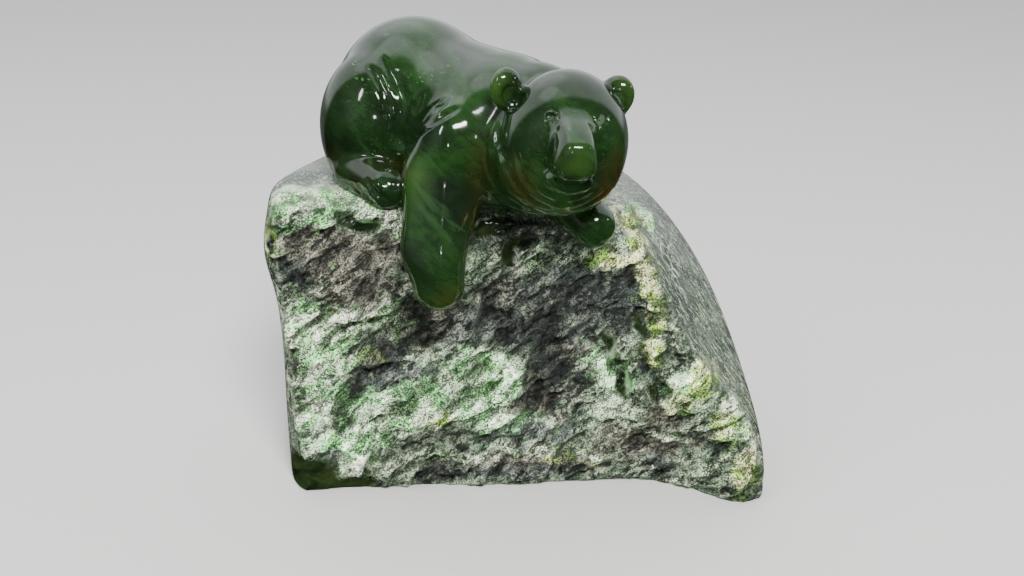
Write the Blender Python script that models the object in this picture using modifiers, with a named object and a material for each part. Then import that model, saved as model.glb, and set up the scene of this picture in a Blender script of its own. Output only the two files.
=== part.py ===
"""A polished nephrite jade bear lying over the edge of a rough jade boulder.

Two pieces: the bear, and the rock that it is cut to sit on. Both are free forms. Each is a
field of distances built from named masses, and a Blender mesh is shrunk onto that field.
"""
import itertools
from collections import namedtuple

import bmesh
import bpy
import numpy as np
from mathutils import Matrix, Vector

# Driving sizes, in metres
BEAR_LENGTH = 0.131
ROCK_WIDTH = 0.168
ROCK_DEPTH = 0.115
ROCK_HEIGHT = 0.0975
SEAT_GAP = 0.0003

# The grids that the forms are drawn on: units along the bear, and along the rock's three sides
BEAR_GRID = 131
ROCK_GRID = np.array([168.0, 115.0, 97.5])

# Where the bear sits, in shares of the rock's sides: the front edge under its chest, and the top
EDGE_SHARE = -0.313
TOP_SHARE = 0.985
CHEST_OVERHANG = 36

# Mesh sizes, in metres, and the number of triangles kept
BEAR_VOXEL = 0.0012
ROCK_VOXEL = 0.0018
BEAR_TRIANGLES = 5600
ROCK_TRIANGLES = 3300

Ellipsoid = namedtuple("Ellipsoid", "centre radii turned blend", defaults=(None, 4))
Limb = namedtuple("Limb", "start end start_radius end_radius blend", defaults=(4,))


def turn(yaw=0.0, pitch=0.0, roll=0.0):
    """A 3 x 3 rotation from angles in degrees about Z, then X, then Y."""
    turned = Matrix.Rotation(np.radians(yaw), 3, "Z")
    turned = turned @ Matrix.Rotation(np.radians(pitch), 3, "X")
    return np.array(turned @ Matrix.Rotation(np.radians(roll), 3, "Y"))


# Distance fields of simple shapes

def ellipsoid(points, shape):
    local = points - np.array(shape.centre)
    if shape.turned is not None:
        local = local @ shape.turned
    radii = np.array(shape.radii, float)
    ratio = np.linalg.norm(local / radii, axis=1)
    slope = np.linalg.norm(local / radii ** 2, axis=1)
    return ratio * (ratio - 1) / np.maximum(slope, 1e-9)


def limb(points, shape):
    """A round-ended, tapering limb."""
    start, way = np.array(shape.start, float), np.subtract(shape.end, shape.start).astype(float)
    length2 = way @ way
    taper = shape.start_radius - shape.end_radius
    slant = length2 - taper ** 2
    local = points - start
    along = local @ way
    past = along - length2
    across2 = ((local * length2 - way * along[:, None]) ** 2).sum(axis=1)
    side = (np.sqrt(across2 * slant / length2) + along * taper) / length2 - shape.start_radius
    tip = np.sqrt(across2 + past ** 2 * length2) / length2 - shape.end_radius
    root = np.sqrt(across2 + along ** 2 * length2) / length2 - shape.start_radius
    bound = np.sign(taper) * taper ** 2 * across2
    beyond = np.sign(past) * slant * past ** 2 * length2 > bound
    before = np.sign(along) * slant * along ** 2 * length2 < bound
    return np.where(beyond, tip, np.where(before, root, side))


def block(points, centre, half_sides, rounding):
    over = np.abs(points - np.array(centre)) - (np.array(half_sides) - rounding)
    outside = np.linalg.norm(np.maximum(over, 0), axis=1)
    return outside + np.minimum(over.max(axis=1), 0) - rounding


def plane(points, through, facing):
    facing = np.array(facing, float)
    return (points - np.array(through)) @ (facing / np.linalg.norm(facing))


def join(one, other, blend):
    """The union of two fields, with a fillet of about the blend's size."""
    near = np.maximum(blend - np.abs(one - other), 0) / blend
    return np.minimum(one, other) - near ** 3 * blend / 6


def meet(one, other, blend):
    return -join(-one, -other, blend)


def hollow(one, other, blend):
    return meet(one, -other, blend)


def joined(points, masses):
    field = None
    for shape in masses:
        found = (ellipsoid if isinstance(shape, Ellipsoid) else limb)(points, shape)
        field = found if field is None else join(field, found, shape.blend)
    return field


def smooth_step(value, low, high):
    share = np.clip((value - low) / (high - low), 0, 1)
    return share * share * (3 - 2 * share)


def bump(value, middle, spread):
    return np.exp(-((value - middle) / spread) ** 2)


def smooth_line(points, steps=6):
    """A curve through the points, as short straight stretches."""
    knots = np.array(points, float)
    knots = np.vstack([2 * knots[0] - knots[1], knots, 2 * knots[-1] - knots[-2]])
    found = []
    for a, b, c, d in zip(knots, knots[1:], knots[2:], knots[3:]):
        for t in np.arange(steps) / steps:
            cubic = (3 * b - a - 3 * c + d) * t ** 3
            square = (2 * a - 5 * b + 4 * c - d) * t ** 2
            found.append((2 * b + (c - a) * t + square + cubic) / 2)
    return np.array(found + [knots[-2]])


def crease(points, line, width, depth):
    """How far a carved line lowers the surface. It fades out at both ends."""
    line = smooth_line(line)
    reach = 3 * width
    close = np.flatnonzero(np.all((points > line.min(0) - reach) & (points < line.max(0) + reach), axis=1))
    nearest = np.full(len(close), np.inf)
    share = np.zeros(len(close))
    for step, (start, end) in enumerate(zip(line, line[1:])):
        way = end - start
        along = np.clip((points[close] - start) @ way / (way @ way), 0, 1)
        distance = np.linalg.norm(points[close] - start - along[:, None] * way, axis=1)
        better = distance < nearest
        nearest[better] = distance[better]
        share[better] = (step + along[better]) / (len(line) - 1)
    lowered = np.zeros(len(points))
    lowered[close] = depth * smooth_step(np.minimum(share, 1 - share), 0, 0.2) * bump(nearest, 0, width)
    return lowered


def noise(points):
    """Smooth noise of about -1 to 1, the same on every run."""
    cell = np.floor(points).astype(np.int64)
    inside = points - cell
    ease = inside ** 3 * (inside * (inside * 6 - 15) + 10)
    total = np.zeros(len(points))
    for corner in itertools.product((0, 1), repeat=3):
        x, y, z = (cell + corner).T
        mixed = (x * 73856093) ^ (y * 19349663) ^ (z * 83492791)
        mixed = (mixed ^ (mixed >> 13)) * 1274126177 & 0x7FFFFFFF
        slopes = np.stack([mixed >> shift & 1023 for shift in (1, 11, 21)], axis=1) / 511.5 - 1
        weight = np.where(corner, ease, 1 - ease).prod(axis=1)
        total += weight * ((inside - corner) * slopes).sum(axis=1)
    return total * 1.5


# The bear, in grid units from the seat: +X right, +Y away from its face, +Z up

RUMP = np.array([-34.5, 9.5, 20])
BODY = turn(yaw=42)
HEAD = np.array([5.4, -48, 23])
FACE = turn(yaw=1, roll=4)

# The body's own frame starts at the rump: X to the bear's left, Y backwards
BODY_MASSES = [
    Ellipsoid((0, 0, 0), (27, 29, 30)),
    Ellipsoid((1, -22, -1.5), (24, 33, 26), turn(pitch=-10), 10),
    Ellipsoid((0, -42, -0.5), (24, 21, 24.5), None, 8),
    Ellipsoid((0, -54, 4), (16.5, 16, 19.5), None, 6),
    Ellipsoid((0, 27, 2), (5, 6, 4)),
]
for side in (-1, 1):
    BODY_MASSES += [
        Ellipsoid((side * 19, 1, -4), (15.5, 18.5, 24), None, 6),
        Limb((side * 27, -3, -15.5), (side * 31.5, -20, -16.5), 9, 7, 3),
        Ellipsoid((side * 18.5, -38, -2.5), (13, 12, 16)),
    ]
RIGHT_ARM = [
    Limb((-26, -32, 10), (-30.5, -42.5, -10), 13.5, 9.5),
    Limb((-30, -43, -10), (-29, -45.5, -20.5), 9, 8, 5),
]
LEFT_ARM = [
    Limb((4, -22, 8), (18, -42.5, -3), 9.5, 7),
]

# The head's own frame starts at its middle and faces -Y
SKULL = [
    Ellipsoid((1.8, 0, 2), (18.2, 19, 20.5)),
    Ellipsoid((0, 0.5, -5.5), (17.2, 17.5, 13), None, 6),
]
FACE_DISH = Ellipsoid((1.5, -29.5, 4), (18, 14.2, 15), None, 1.5)
CHIN = Ellipsoid((0.6, -17.5, -3), (7, 8.5, 4.2), None, 1.5)
RUFF = Ellipsoid((-3.2, 7, -5), (17.8, 12, 18), None, 1)
MUZZLE_CENTRE = (0.6, -17.5, 6)
EYE_SPREAD = 7.2


def body_creases(local):
    """The haunch, flank, shoulder and toe lines, alike on both sides. Each is a line, a width and a depth."""
    fold = (24.3, -18, -5.7)
    lines = [
        ([(20, -11, 18), (22, -17, 11), (23.5, -19, 4), (24.5, -18, -6)], 1.9, 2.2),
        ([(24, -8, 16), (24.5, -13, 11), (24.6, -16, 6)], 1.2, 1.0),
        ([fold, (23.3, -18.7, 3.9), (21, -18.5, 11.2)], 1.2, 1.3),
        ([fold, (23.1, -21, 3.7), (20.9, -22, 10.3)], 1.2, 1.3),
        ([fold, (22.6, -22.7, 5.2), (19.6, -24, 12.6)], 1.2, 1.3),
        ([(24, -21, -5), (28.4, -34.5, 7), (20.2, -36.5, 14)], 1.6, 1.8),
        ([(37.4, -12.3, -15.4), (38.3, -18.5, -17.2), (37.6, -21.7, -19.5)], 1.0, 1.2),
        ([(38.1, -20.3, -14.2), (37.3, -24, -16.4), (35.4, -25.2, -19.2)], 1.0, 1.2),
    ]
    lowered = 0
    for side, (line, width, depth) in itertools.product((-1, 1), lines):
        lowered = lowered + crease(local, np.array(line) * (side, 1, 1), width, depth)
    return lowered


def body_field(points):
    local = (points - RUMP) @ BODY
    return joined(local, BODY_MASSES) + body_creases(local)


def arms_field(points):
    right, left = joined(points, RIGHT_ARM), joined(points, LEFT_ARM)
    for toe in (-3, 1.5, 6):
        left = left + crease(points, [(15 + toe, -49, 0), (15.5 + toe, -50, -4), (16 + toe, -48, -8)], 0.9, 0.9)
    return np.minimum(right, left)


def muzzle_field(local):
    field = block(local, MUZZLE_CENTRE, (7.6, 12, 8), 3.5)
    field = meet(field, plane(local, (0, -29, 9.6), (0, -0.42, 0.9)), 3)
    for side in (-1, 1):
        cheek = plane(local, (0.6 + side * 7.8, -25, 2), (side * 0.93, -0.2, 0.3))
        field = meet(field, cheek, 2)
    return field


def eye_field(field, local, side):
    """A small socket under the brow, with the eye in it."""
    middle = (1.5 + side * EYE_SPREAD, -15.6, 12.8)
    field = hollow(field, ellipsoid(local, Ellipsoid(middle, (2.6, 1.7, 1.7))), 0.8)
    return join(field, ellipsoid(local, Ellipsoid(np.add(middle, (0, 1.1, 0)), (1.4, 1.4, 1.2))), 0.4)


def ear_field(field, local, side):
    """A round ear, tilted outwards, with its cup facing forwards."""
    turned = turn(yaw=-side * 30, roll=side * 18)
    field = join(field, ellipsoid(local, Ellipsoid((side * 15.8, 3, 15.3), (5.2, 3.6, 6.2), turned)), 2.5)
    return hollow(field, ellipsoid(local, Ellipsoid((side * 15.4, -1.4, 14.6), (3.1, 3.2, 3.8), turned)), 1.2)


def head_field(points):
    local = (points - HEAD) @ FACE
    field = hollow(joined(local, SKULL), ellipsoid(local, FACE_DISH), FACE_DISH.blend)
    field = join(field, muzzle_field(local), 4)
    field = join(field, ellipsoid(local, CHIN), CHIN.blend)
    field = join(field, ellipsoid(local, RUFF), RUFF.blend)
    for side in (-1, 1):
        field = ear_field(eye_field(field, local, side), local, side)
    return field


def bear_field(points):
    field = join(body_field(points), arms_field(points), 4)
    return join(field, head_field(points), 3)


# The rock, in grid units from under its middle: +X right, -Y the broken face, +Z up

# Each cut is a point on it, the way it faces and how softly it meets the cuts before it
ROCK_CUTS = [
    ((-80, -37, 30), (-0.75, -0.8, 0.05), 8),
    ((-80, -20, 98), (-0.4, 0, 1), 6),
    ((-30, 0, 97), (0, -0.02, 1), 8),
    ((-45, -30, 96), (0.09, -0.6, 0.8), 5),
    ((-76, 20, 50), (-0.9, 0.55, 0.1), 12),
    ((30, 0, 94), (0.26, 0, 0.96), 12),
    ((54, -4, 81), (0.62, 0, 0.78), 14),
    ((69, -12, 57), (0.85, -0.05, 0.5), 16),
    ((81, -40, 14), (0.98, 0.03, 0.17), 14),
    ((82, -46, 4), (0.95, -0.3, -0.05), 10),
    ((0, 49, 50), (0, 1, 0.12), 26),
    ((55, 36, 50), (0.7, 0.7, 0.1), 24),
    ((37, -41, 76), (0.69, -0.46, 0.56), 5),
]
# How far the blank runs on below the ground
FOOTING = 8
# The way that the broken face's layers run, up to the right
LAYERS = turn(roll=-38)


def boulder_field(points):
    """The worn and polished outside of the boulder, before its front was broken off."""
    z = points[:, 2]
    waist = 0.6 * bump(z, 45, 16) - 3 * bump(z, 79, 11)
    field = plane(points, (-81.3, -20, 40), (-1, -0.12, 0)) + waist
    for through, facing, blend in ROCK_CUTS:
        field = meet(field, plane(points, through, facing), blend)
    return field


def break_relief(points):
    """Lumps and stepped layers of the broken face, over a few grid units deep."""
    local = points @ LAYERS
    broad = 2.2 * noise(local / (26, 30, 11))
    steps = 1.4 * np.abs(noise(local / (18, 20, 6.5) + 7.3))
    return broad + steps - 0.6


def break_field(points):
    """The broken front face: hollow in the middle, with a ledge below and a foot at its lower right."""
    x, _, z = points.T
    foot = 15 * bump(x, 72, 17) * bump(np.maximum(z, 0), 0, 26)
    shoulder = 12 * bump(x, 52, 20) * bump(z, 45, 30)
    ledge = 2.5 * bump(z, 14, 9) * (1 + 0.3 * np.sin(x / 11))
    middle = 4.5 * bump(x, -5, 36) * bump(z, 42, 24)
    face = plane(points, (-30, -43, 10), (0, -1, 0.12))
    return face - foot - shoulder - ledge + middle


def rock_field(points, relief=1):
    """The rock down to a little below the ground, where it is sawn off later."""
    worn, broken = boulder_field(points), break_field(points)
    rough = relief * smooth_step(broken - worn, -2.5, 1.5)
    field = meet(worn, broken - rough * break_relief(points), 2.5)
    return meet(field, -points[:, 2] - FOOTING, 3)


# From grid units to metres

def bear_seat():
    """The point under the bear's belly, tied to the rock's top and its front edge."""
    forward = EDGE_SHARE * ROCK_DEPTH + CHEST_OVERHANG * BEAR_LENGTH / BEAR_GRID
    return np.array([0, forward, TOP_SHARE * ROCK_HEIGHT])


def bear_distance(points):
    unit = BEAR_LENGTH / BEAR_GRID
    return bear_field((points - bear_seat()) / unit) * unit


def rock_units():
    return np.array([ROCK_WIDTH, ROCK_DEPTH, ROCK_HEIGHT]) / ROCK_GRID


def rock_distance(points, relief=1):
    return rock_field(points / rock_units(), relief) * rock_units().min()


# Meshes

def points_of(mesh):
    found = np.empty(len(mesh.vertices) * 3)
    mesh.vertices.foreach_get("co", found)
    return found.reshape(-1, 3)


def settle(mesh, distance, rounds):
    """Moves each vertex along the field's slope until it lies on the form."""
    points = points_of(mesh)
    reach = 2e-5
    for _ in range(rounds):
        slope = np.stack([
            distance(points + reach * way) - distance(points - reach * way) for way in np.eye(3)
        ], axis=1) / (2 * reach)
        steepness = np.maximum((slope ** 2).sum(axis=1), 0.2)
        points -= slope * (distance(points) / steepness)[:, None]
    mesh.vertices.foreach_set("co", points.ravel())
    mesh.update()


def evaluated(obj):
    """The object's mesh with its modifiers applied."""
    graph = bpy.context.evaluated_depsgraph_get()
    return bpy.data.meshes.new_from_object(obj.evaluated_get(graph))


def apply_modifiers(obj):
    mesh = evaluated(obj)
    obj.modifiers.clear()
    obj.data = mesh


def remesh(obj, voxel):
    modifier = obj.modifiers.new("even mesh", "REMESH")
    modifier.mode = "VOXEL"
    modifier.voxel_size = voxel
    apply_modifiers(obj)


def thin_out(obj, triangles):
    """Reduces the mesh to this many triangles, which stay small where the form is carved."""
    modifier = obj.modifiers.new("fewer triangles", "DECIMATE")
    modifier.ratio = triangles / (2 * len(obj.data.vertices))
    modifier.use_collapse_triangulate = True
    apply_modifiers(obj)


def new_object(name, bm, collection):
    mesh = bpy.data.meshes.new(name)
    bm.to_mesh(mesh)
    bm.free()
    obj = bpy.data.objects.new(name, mesh)
    collection.objects.link(obj)
    return obj


def add_ball(bm, centre, radii, turned):
    scale = Matrix.Diagonal(Vector(radii)).to_4x4()
    place = Matrix.Translation(Vector(centre)) @ Matrix(turned.tolist()).to_4x4() @ scale
    bmesh.ops.create_uvsphere(bm, u_segments=32, v_segments=20, radius=1, matrix=place)


def add_mass(bm, shape, origin, frame):
    """Balls that fill one mass, in the metres of the finished bear."""
    unit = BEAR_LENGTH / BEAR_GRID
    if isinstance(shape, Ellipsoid):
        turned = frame if shape.turned is None else frame @ shape.turned
        balls = [(shape.centre, shape.radii, turned)]
    else:
        shares = np.linspace(0, 1, 5)[:, None]
        centres = np.array(shape.start) * (1 - shares) + np.array(shape.end) * shares
        radii = shape.start_radius * (1 - shares) + shape.end_radius * shares
        balls = [(centre, np.repeat(radius, 3), frame) for centre, radius in zip(centres, radii)]
    for centre, radii, turned in balls:
        middle = bear_seat() + unit * (origin + frame @ np.array(centre, float))
        add_ball(bm, middle, unit * np.array(radii, float), turned)


def make_bear(collection):
    bm = bmesh.new()
    for shape in BODY_MASSES:
        add_mass(bm, shape, RUMP, BODY)
    for shape in RIGHT_ARM + LEFT_ARM:
        add_mass(bm, shape, np.zeros(3), np.eye(3))
    ears = [Ellipsoid((side * 15.8, 3, 15.3), (5.2, 3.6, 6.2)) for side in (-1, 1)]
    muzzle = Ellipsoid(MUZZLE_CENTRE, (7.6, 12, 8))
    for shape in SKULL + [CHIN, RUFF, muzzle] + ears:
        add_mass(bm, shape, HEAD, FACE)
    bear = new_object("bear", bm, collection)
    for _ in range(2):
        remesh(bear, BEAR_VOXEL)
        settle(bear.data, bear_distance, 4)
    thin_out(bear, BEAR_TRIANGLES)
    return bear


def cut_off(bm, through, facing):
    """Cuts away what lies beyond a plane, and closes the cut."""
    everything = bm.verts[:] + bm.edges[:] + bm.faces[:]
    cut = bmesh.ops.bisect_plane(bm, geom=everything, dist=1e-6, plane_co=through,
                                 plane_no=facing, clear_outer=True)
    rim = [part for part in cut["geom_cut"] if isinstance(part, bmesh.types.BMEdge)]
    if rim:
        bmesh.ops.contextual_create(bm, geom=rim)


def rock_blank():
    """A block with the boulder's main cuts."""
    bm = bmesh.new()
    block_size = Vector((1.06 * ROCK_WIDTH, 1.1 * ROCK_DEPTH, 2 * ROCK_HEIGHT))
    bmesh.ops.create_cube(bm, size=1, matrix=Matrix.Diagonal(block_size).to_4x4())
    units = rock_units()
    cut_off(bm, (0, 0, -FOOTING * units[2]), (0, 0, -1))
    for through, facing, _ in ROCK_CUTS:
        cut_off(bm, Vector(units * through), Vector(facing / units).normalized())
    return bm


def make_rock(collection):
    rock = new_object("rock_base", rock_blank(), collection)
    for relief in (0, 0, 1):
        remesh(rock, ROCK_VOXEL)
        settle(rock.data, lambda points: rock_distance(points, relief), 4)
    thin_out(rock, ROCK_TRIANGLES)
    saw_flat(rock)
    return rock


def saw_flat(obj):
    """Cuts the rock off at the ground, which leaves a flat underside."""
    bm = bmesh.new()
    bm.from_mesh(obj.data)
    cut_off(bm, (0, 0, 0), (0, 0, -1))
    bmesh.ops.triangulate(bm, faces=[face for face in bm.faces if len(face.verts) > 4])
    bm.to_mesh(obj.data)
    bm.free()


def cut_seat(bear, rock, cutters):
    """Cuts the rock's shape, grown by the gap, out of the bear, so that the bear lies on it."""
    seat = bpy.data.objects.new("seat cutter", rock.data.copy())
    cutters.objects.link(seat)
    seat.hide_render = True
    seat.display_type = "WIRE"
    grow = seat.modifiers.new("gap", "DISPLACE")
    grow.mid_level = 0
    grow.strength = SEAT_GAP
    apply_modifiers(seat)
    fit = bear.modifiers.new("seat", "BOOLEAN")
    fit.operation = "DIFFERENCE"
    fit.solver = "EXACT"
    fit.object = seat
    apply_modifiers(bear)


def centre_on_ground(objects):
    """Moves the pieces together, so that the origin is under the middle of them all."""
    corners = np.vstack([points_of(obj.data) for obj in objects])
    middle = (corners.min(axis=0) + corners.max(axis=0)) / 2
    for obj in objects:
        obj.data.transform(Matrix.Translation((-middle[0], -middle[1], 0)))


def stone(name, colour, roughness):
    material = bpy.data.materials.new(name)
    material.use_nodes = True
    shader = material.node_tree.nodes["Principled BSDF"]
    shader.inputs["Base Color"].default_value = (*colour, 1)
    shader.inputs["Roughness"].default_value = roughness
    shader.inputs["Metallic"].default_value = 0
    material.diffuse_color = (*colour, 1)
    return material


def new_collection(name):
    collection = bpy.data.collections.new(name)
    bpy.context.scene.collection.children.link(collection)
    return collection


def main():
    for obj in list(bpy.data.objects):
        bpy.data.objects.remove(obj, do_unlink=True)
    parts = new_collection("jade bear sculpture")
    cutters = new_collection("cutters")
    rock = make_rock(parts)
    bear = make_bear(parts)
    cut_seat(bear, rock, cutters)
    centre_on_ground([bear, rock])
    bear.data.materials.append(stone("polished nephrite", (0.022, 0.085, 0.025), 0.08))
    rock.data.materials.append(stone("raw nephrite", (0.17, 0.2, 0.15), 0.7))
    bear.data.shade_smooth()
    bear.data.set_sharp_from_angle(angle=np.radians(50))
    rock.data.shade_smooth()
    rock.data.set_sharp_from_angle(angle=np.radians(35))


main()
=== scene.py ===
"""Looks of the jade bear sculpture: a polished nephrite bear on a rough nephrite boulder.

The bear and the rock are drawn as fields of distances in millimetres, as the solids are. Fine meshes
are shrunk onto them, then the broken stone gets its small steps and grain.
"""

import itertools
from collections import namedtuple

import bmesh
import bpy
import numpy as np
from mathutils import Matrix, Vector


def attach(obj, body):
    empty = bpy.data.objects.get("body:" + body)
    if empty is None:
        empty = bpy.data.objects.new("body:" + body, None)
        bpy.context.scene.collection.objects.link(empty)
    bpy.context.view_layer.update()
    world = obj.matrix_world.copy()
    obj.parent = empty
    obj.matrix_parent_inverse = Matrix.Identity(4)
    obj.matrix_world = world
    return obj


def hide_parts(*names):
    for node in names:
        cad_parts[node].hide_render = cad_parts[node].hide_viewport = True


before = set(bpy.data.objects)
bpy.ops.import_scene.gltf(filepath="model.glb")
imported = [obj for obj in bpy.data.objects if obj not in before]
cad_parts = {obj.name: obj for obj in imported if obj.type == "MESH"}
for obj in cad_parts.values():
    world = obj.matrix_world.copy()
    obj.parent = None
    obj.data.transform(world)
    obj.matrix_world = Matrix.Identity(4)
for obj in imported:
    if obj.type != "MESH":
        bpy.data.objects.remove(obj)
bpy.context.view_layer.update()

# A millimetre in metres
MM = 0.001
# The point on the rock that the bear is drawn from, and the gap left under the bear, in mm
SEAT = np.array([0, 0, 96.04])
SEAT_GAP = 0.3

# Mesh sizes in mm.
BEAR_VOXEL, ROCK_VOXEL = ((0.62, 1.15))

Ellipsoid = namedtuple("Ellipsoid", "centre radii turned blend", defaults=(None, 4))
Limb = namedtuple("Limb", "start end start_radius end_radius blend", defaults=(4,))


def turn(yaw=0.0, pitch=0.0, roll=0.0):
    """A 3 x 3 rotation from angles in degrees about Z, then X, then Y."""
    turned = Matrix.Rotation(np.radians(yaw), 3, "Z")
    turned = turned @ Matrix.Rotation(np.radians(pitch), 3, "X")
    return np.array(turned @ Matrix.Rotation(np.radians(roll), 3, "Y"))


# Distance fields of simple shapes

def ellipsoid(points, shape):
    """About the distance to an ellipsoid."""
    local = points - np.array(shape.centre)
    if shape.turned is not None:
        local = local @ shape.turned
    radii = np.array(shape.radii, float)
    ratio = np.linalg.norm(local / radii, axis=1)
    slope = np.linalg.norm(local / radii ** 2, axis=1)
    return ratio * (ratio - 1) / np.maximum(slope, 1e-9)


def limb(points, shape):
    """A round-ended, tapering limb."""
    start, way = np.array(shape.start, float), np.subtract(shape.end, shape.start).astype(float)
    length2 = way @ way
    taper = shape.start_radius - shape.end_radius
    slant = length2 - taper ** 2
    local = points - start
    along = local @ way
    past = along - length2
    across2 = ((local * length2 - way * along[:, None]) ** 2).sum(axis=1)
    side = (np.sqrt(across2 * slant / length2) + along * taper) / length2 - shape.start_radius
    tip = np.sqrt(across2 + past ** 2 * length2) / length2 - shape.end_radius
    root = np.sqrt(across2 + along ** 2 * length2) / length2 - shape.start_radius
    bound = np.sign(taper) * taper ** 2 * across2
    beyond = np.sign(past) * slant * past ** 2 * length2 > bound
    before = np.sign(along) * slant * along ** 2 * length2 < bound
    return np.where(beyond, tip, np.where(before, root, side))


def block(points, centre, half_sides, rounding):
    """A box with rounded edges."""
    over = np.abs(points - np.array(centre)) - (np.array(half_sides) - rounding)
    outside = np.linalg.norm(np.maximum(over, 0), axis=1)
    return outside + np.minimum(over.max(axis=1), 0) - rounding


def plane(points, through, facing):
    """The distance in front of a plane through a point."""
    facing = np.array(facing, float)
    return (points - np.array(through)) @ (facing / np.linalg.norm(facing))


def join(one, other, blend):
    """The union of two fields, with a fillet of about the blend's size."""
    near = np.maximum(blend - np.abs(one - other), 0) / blend
    return np.minimum(one, other) - near ** 3 * blend / 6


def meet(one, other, blend):
    """What two fields share."""
    return -join(-one, -other, blend)


def hollow(one, other, blend):
    """The first field with the other cut out of it."""
    return meet(one, -other, blend)


def joined(points, masses):
    """Ellipsoids and limbs, each blended into the ones before it."""
    field = None
    for shape in masses:
        found = (ellipsoid if isinstance(shape, Ellipsoid) else limb)(points, shape)
        field = found if field is None else join(field, found, shape.blend)
    return field


def smooth_step(value, low, high):
    """From 0 at the low value to 1 at the high one."""
    share = np.clip((value - low) / (high - low), 0, 1)
    return share * share * (3 - 2 * share)


def bump(value, middle, spread):
    """A bell shape of height 1."""
    return np.exp(-((value - middle) / spread) ** 2)


def away_from(points, middle, sides):
    """How far each point is from a middle, in shares of the half sizes."""
    return np.linalg.norm((points - np.array(middle)) / sides, axis=1)


def smooth_line(points, steps=6):
    """A curve through the points, as short straight stretches."""
    knots = np.array(points, float)
    knots = np.vstack([2 * knots[0] - knots[1], knots, 2 * knots[-1] - knots[-2]])
    found = []
    for a, b, c, d in zip(knots, knots[1:], knots[2:], knots[3:]):
        for t in np.arange(steps) / steps:
            cubic = (3 * b - a - 3 * c + d) * t ** 3
            square = (2 * a - 5 * b + 4 * c - d) * t ** 2
            found.append((2 * b + (c - a) * t + square + cubic) / 2)
    return np.array(found + [knots[-2]])


def crease(points, line, width, depth, sharp=False):
    """How far a carved line lowers the surface. It fades out at both ends. A sharp one has crisp edges."""
    line = smooth_line(line)
    reach = 3 * width
    close = np.flatnonzero(np.all((points > line.min(0) - reach) & (points < line.max(0) + reach), axis=1))
    nearest = np.full(len(close), np.inf)
    share = np.zeros(len(close))
    for step, (start, end) in enumerate(zip(line, line[1:])):
        way = end - start
        along = np.clip((points[close] - start) @ way / (way @ way), 0, 1)
        distance = np.linalg.norm(points[close] - start - along[:, None] * way, axis=1)
        better = distance < nearest
        nearest[better] = distance[better]
        share[better] = (step + along[better]) / (len(line) - 1)
    lowered = np.zeros(len(points))
    profile = np.maximum(1 - (nearest / width) ** 2, 0) if sharp else bump(nearest, 0, width)
    lowered[close] = depth * smooth_step(np.minimum(share, 1 - share), 0, 0.2) * profile
    return lowered


def noise(points):
    """Smooth noise of about -1 to 1, the same on every run."""
    cell = np.floor(points).astype(np.int64)
    inside = points - cell
    ease = inside ** 3 * (inside * (inside * 6 - 15) + 10)
    total = np.zeros(len(points))
    for corner in itertools.product((0, 1), repeat=3):
        x, y, z = (cell + corner).T
        mixed = (x * 73856093) ^ (y * 19349663) ^ (z * 83492791)
        mixed = (mixed ^ (mixed >> 13)) * 1274126177 & 0x7FFFFFFF
        slopes = np.stack([mixed >> shift & 1023 for shift in (1, 11, 21)], axis=1) / 511.5 - 1
        weight = np.where(corner, ease, 1 - ease).prod(axis=1)
        total += weight * ((inside - corner) * slopes).sum(axis=1)
    return total * 1.5


# The bear, in mm from the seat: +X right, +Y away from its face, +Z up

RUMP = np.array([-34.5, 9.5, 20])
BODY = turn(yaw=42)
HEAD = np.array([5.4, -48, 23])
FACE = turn(yaw=1, roll=4)

# The body's own frame starts at the rump: X to the bear's left, Y backwards
BODY_MASSES = [
    Ellipsoid((0, 0, 0), (27, 29, 30)),
    Ellipsoid((1, -22, -1.5), (24, 33, 26), turn(pitch=-10), 10),
    Ellipsoid((0, -42, -0.5), (24, 21, 24.5), None, 8),
    Ellipsoid((0, -54, 4), (16.5, 16, 19.5), None, 6),
    Ellipsoid((0, 27, 2), (5, 6, 4)),
]
for side in (-1, 1):
    BODY_MASSES += [
        Ellipsoid((side * 19, 1, -4), (15.5, 18.5, 24), None, 6),
        Limb((side * 27, -3, -15.5), (side * 31.5, -20, -16.5), 9, 7, 3),
        Ellipsoid((side * 18.5, -38, -2.5), (13, 12, 16)),
    ]
RIGHT_ARM = [
    Limb((-26, -32, 10), (-30.5, -42.5, -10), 13.5, 9.5),
    Limb((-30, -43, -10), (-29, -45.5, -20.5), 9, 8, 5),
]
LEFT_ARM = [
    Limb((4, -22, 8), (18, -42.5, -3), 9.5, 7),
]

# The head's own frame starts at its middle and faces -Y
SKULL = [
    Ellipsoid((1.8, 0, 2), (18.2, 19, 20.5)),
    Ellipsoid((0, 0.5, -5.5), (17.2, 17.5, 13), None, 6),
]
FACE_DISH = Ellipsoid((1.5, -29.5, 4), (18, 14.2, 15), None, 1.5)
CHIN = Ellipsoid((0.6, -17.5, -3), (7, 8.5, 4.2), None, 1.5)
RUFF = Ellipsoid((-3.2, 7, -5), (17.8, 12, 18), None, 1)
MUZZLE_CENTRE = (0.6, -17.5, 6)
MUZZLE_HALF_SIDES = (6.8, 12, 8)
MUZZLE_ROUNDING = 5.8
EYE_MIDDLE = (1.5, -15.6, 12.8)
EYE_SPREAD = 7.2


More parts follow.
